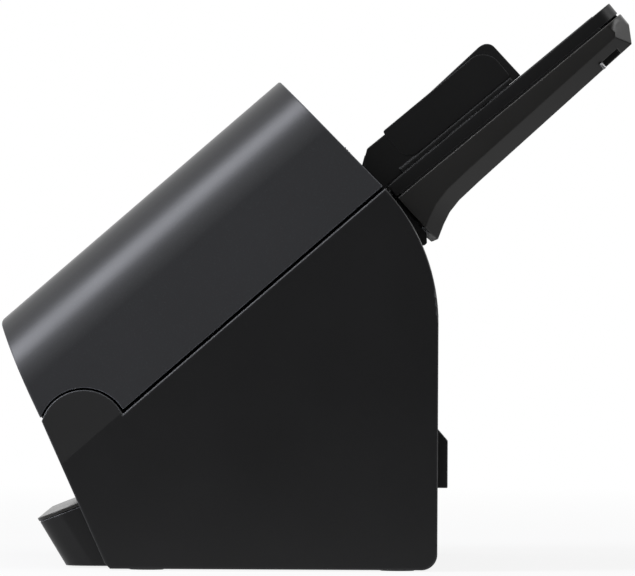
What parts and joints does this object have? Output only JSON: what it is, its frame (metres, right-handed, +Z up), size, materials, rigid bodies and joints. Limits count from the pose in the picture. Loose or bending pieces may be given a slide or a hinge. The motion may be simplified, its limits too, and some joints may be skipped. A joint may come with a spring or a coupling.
{
  "type": "sheet-fed document scanner",
  "caption": "Compact sheet-fed document scanner with a sloping paper path, a cover that hinges forward, a feed tray with sliding guides and a pull-out eject tray.",
  "frame": {"origin": "middle of the whole scanner's width and depth, on the table under the rubber feet", "axes": "+X to the user's right, +Y from the front with the cover's nose to the back with the feed tray, +Z up"},
  "size_m": [0.291, 0.2543, 0.2298],
  "materials": {
    "cover_plastic": "fine-textured charcoal plastic, slightly satin",
    "base_plastic": "fine-textured black plastic",
    "tray_plastic": "fine-textured black plastic",
    "tray_top_plastic": "satin dark grey plastic",
    "inner_plastic": "smooth black plastic",
    "grey_plastic": "smooth grey plastic",
    "steel": "zinc-plated sheet and ground shafts",
    "rubber": "matte rubber",
    "tyre_rubber": "matte grey feed rubber",
    "glass": "clear sensor glass",
    "sensor_housing": "smooth black plastic",
    "panel_gloss": "gloss black",
    "button_plastic": "satin grey",
    "button_blue": "satin blue",
    "circuit_board": "green solder mask",
    "socket_metal": "tinned steel",
    "motor_metal": "dark plated can",
    "window": "dark tinted plastic"
  },
  "bodies": {
    "base": {"base_right_cover": "base_plastic", "base_left_cover": "base_plastic", "base_rear_cover": "base_plastic", "base_bottom_plate": "steel", "base_chassis": "steel", "right_frame": "steel", "left_frame": "steel", "lower_paper_guide": "inner_plastic", "lower_sensor": "sensor_housing", "lower_sensor_glass": "glass", "exit_chute": "inner_plastic", "tie_bars": "steel", "shaft_bushes": "grey_plastic", "hinge_pins": "steel", "latch_keepers": "steel", "motor": "motor_metal", "drive_belt": "rubber", "main_board": "circuit_board", "dc_inlet": "inner_plastic", "usb_socket": "socket_metal", "connector_surround": "base_plastic", "rubber_feet": "rubber", "rear_screws": "steel", "feed_tray_plate": "tray_plastic", "feed_tray_shell": "tray_top_plastic", "tray_brackets": "inner_plastic"},
    "feed_roller": {"feed_shaft": "steel", "feed_tyres": "tyre_rubber"},
    "drive_roller": {"drive_shaft": "steel", "drive_tyres": "tyre_rubber"},
    "eject_roller": {"eject_shaft": "steel", "eject_tyres": "tyre_rubber"},
    "motor_rotor": {"motor_pulley": "steel"},
    "cover": {"cover_shell": "cover_plastic", "cover_paper_guide": "inner_plastic", "upper_sensor": "sensor_housing", "upper_sensor_glass": "glass", "separation_holder": "grey_plastic", "operation_panel": "panel_gloss", "panel_board": "circuit_board", "status_window": "window"},
    "separation_roller": {"separation_roller": "tyre_rubber"},
    "drive_pinch_roller": {"drive_pinch_roller": "grey_plastic"},
    "eject_pinch_roller": {"eject_pinch_roller": "grey_plastic"},
    "start_button": {"start_button": "button_blue"},
    "stop_button": {"stop_button": "button_plastic"},
    "power_button": {"power_button": "button_plastic"},
    "latch": {"latch_shaft": "steel", "latch_hooks": "steel", "release_lever": "cover_plastic"},
    "right_document_guide": {"right_document_guide": "tray_plastic"},
    "left_document_guide": {"left_document_guide": "tray_plastic"},
    "guide_pinion": {"guide_pinion": "grey_plastic"},
    "extension_lower_stage": {"extension_lower_stage": "tray_plastic"},
    "extension_upper_stage": {"extension_upper_stage": "tray_plastic"},
    "document_flag": {"document_flag": "inner_plastic"},
    "eject_tray": {"eject_tray_pan": "base_plastic", "eject_tray_top": "tray_top_plastic"},
    "eject_tray_slide": {"eject_tray_slide": "tray_plastic"}
  },
  "joints": [
    {"name": "cover_hinge", "type": "hinge", "parent": "base", "child": "cover", "pos_m": [0, -0.09335, 0.0545], "axis": [1, 0, 0], "range_deg": [0, 65]},
    {"name": "latch_release", "type": "hinge", "parent": "cover", "child": "latch", "pos_m": [0, 0.00857, 0.15979], "axis": [1, 0, 0], "range_deg": [0, 8], "stiffness_Nm_per_rad": 0.3, "springref_deg": -11.46},
    {"name": "start_button_press", "type": "slide", "parent": "cover", "child": "start_button", "axis": [0, 0.6561, -0.7547], "range_m": [0, 0.001], "stiffness_N_per_m": 300, "springref_m": -0.001},
    {"name": "stop_button_press", "type": "slide", "parent": "cover", "child": "stop_button", "axis": [0, 0.6561, -0.7547], "range_m": [0, 0.001], "stiffness_N_per_m": 300, "springref_m": -0.001},
    {"name": "power_button_press", "type": "slide", "parent": "cover", "child": "power_button", "axis": [0, 0.6561, -0.7547], "range_m": [0, 0.001], "stiffness_N_per_m": 300, "springref_m": -0.001},
    {"name": "separation_roller_spin", "type": "hinge", "parent": "cover", "child": "separation_roller", "pos_m": [0, -0.00052, 0.14281], "axis": [1, 0, 0], "continuous": true},
    {"name": "drive_pinch_roller_spin", "type": "hinge", "parent": "cover", "child": "drive_pinch_roller", "pos_m": [0, -0.01968, 0.12218], "axis": [1, 0, 0], "continuous": true},
    {"name": "eject_pinch_roller_spin", "type": "hinge", "parent": "cover", "child": "eject_pinch_roller", "pos_m": [0, -0.07704, 0.07232], "axis": [1, 0, 0], "continuous": true},
    {"name": "drive_roller_spin", "type": "hinge", "parent": "base", "child": "drive_roller", "pos_m": [0, -0.00899, 0.10988], "axis": [1, 0, 0], "continuous": true},
    {"name": "feed_roller_spin", "type": "hinge", "parent": "base", "child": "feed_roller", "pos_m": [0, 0.01345, 0.12674], "axis": [1, 0, 0], "continuous": true},
    {"name": "eject_roller_spin", "type": "hinge", "parent": "base", "child": "eject_roller", "pos_m": [0, -0.06635, 0.06002], "axis": [1, 0, 0], "continuous": true},
    {"name": "motor_spin", "type": "hinge", "parent": "base", "child": "motor_rotor", "pos_m": [0, 0.0116, 0.0617], "axis": [1, 0, 0], "continuous": true},
    {"name": "right_guide_slide", "type": "slide", "parent": "base", "child": "right_document_guide", "axis": [-1, 0, 0], "range_m": [0, 0.083]},
    {"name": "left_guide_slide", "type": "slide", "parent": "base", "child": "left_document_guide", "axis": [1, 0, 0], "range_m": [0, 0.083]},
    {"name": "guide_pinion_spin", "type": "hinge", "parent": "base", "child": "guide_pinion", "pos_m": [0, 0.0618, 0.17769], "axis": [0, -0.6414, 0.7672], "range_deg": [0, 600]},
    {"name": "extension_lower_slide", "type": "slide", "parent": "base", "child": "extension_lower_stage", "axis": [0, 0.7672, 0.6414], "range_m": [0, 0.1]},
    {"name": "extension_upper_slide", "type": "slide", "parent": "extension_lower_stage", "child": "extension_upper_stage", "axis": [0, 0.7672, 0.6414], "range_m": [0, 0.1]},
    {"name": "document_flag_swing", "type": "hinge", "parent": "base", "child": "document_flag", "pos_m": [0.02, 0.04198, 0.16086], "axis": [1, 0, 0], "range_deg": [0, 65], "stiffness_Nm_per_rad": 0.002, "springref_deg": -17.19},
    {"name": "eject_tray_pull", "type": "slide", "parent": "base", "child": "eject_tray", "axis": [0, -1, 0], "range_m": [0, 0.105]},
    {"name": "eject_tray_slide_pull", "type": "slide", "parent": "eject_tray", "child": "eject_tray_slide", "axis": [0, -1, 0], "range_m": [0, 0.08]}
  ],
  "couplings": [
    {"joint": "feed_roller_spin", "follows": "drive_roller_spin", "ratio": 1},
    {"joint": "eject_roller_spin", "follows": "drive_roller_spin", "ratio": 1},
    {"joint": "motor_spin", "follows": "drive_roller_spin", "ratio": 1},
    {"joint": "left_guide_slide", "follows": "right_guide_slide", "ratio": 1},
    {"joint": "guide_pinion_spin", "follows": "right_guide_slide", "rad_per_m": 125}
  ]
}
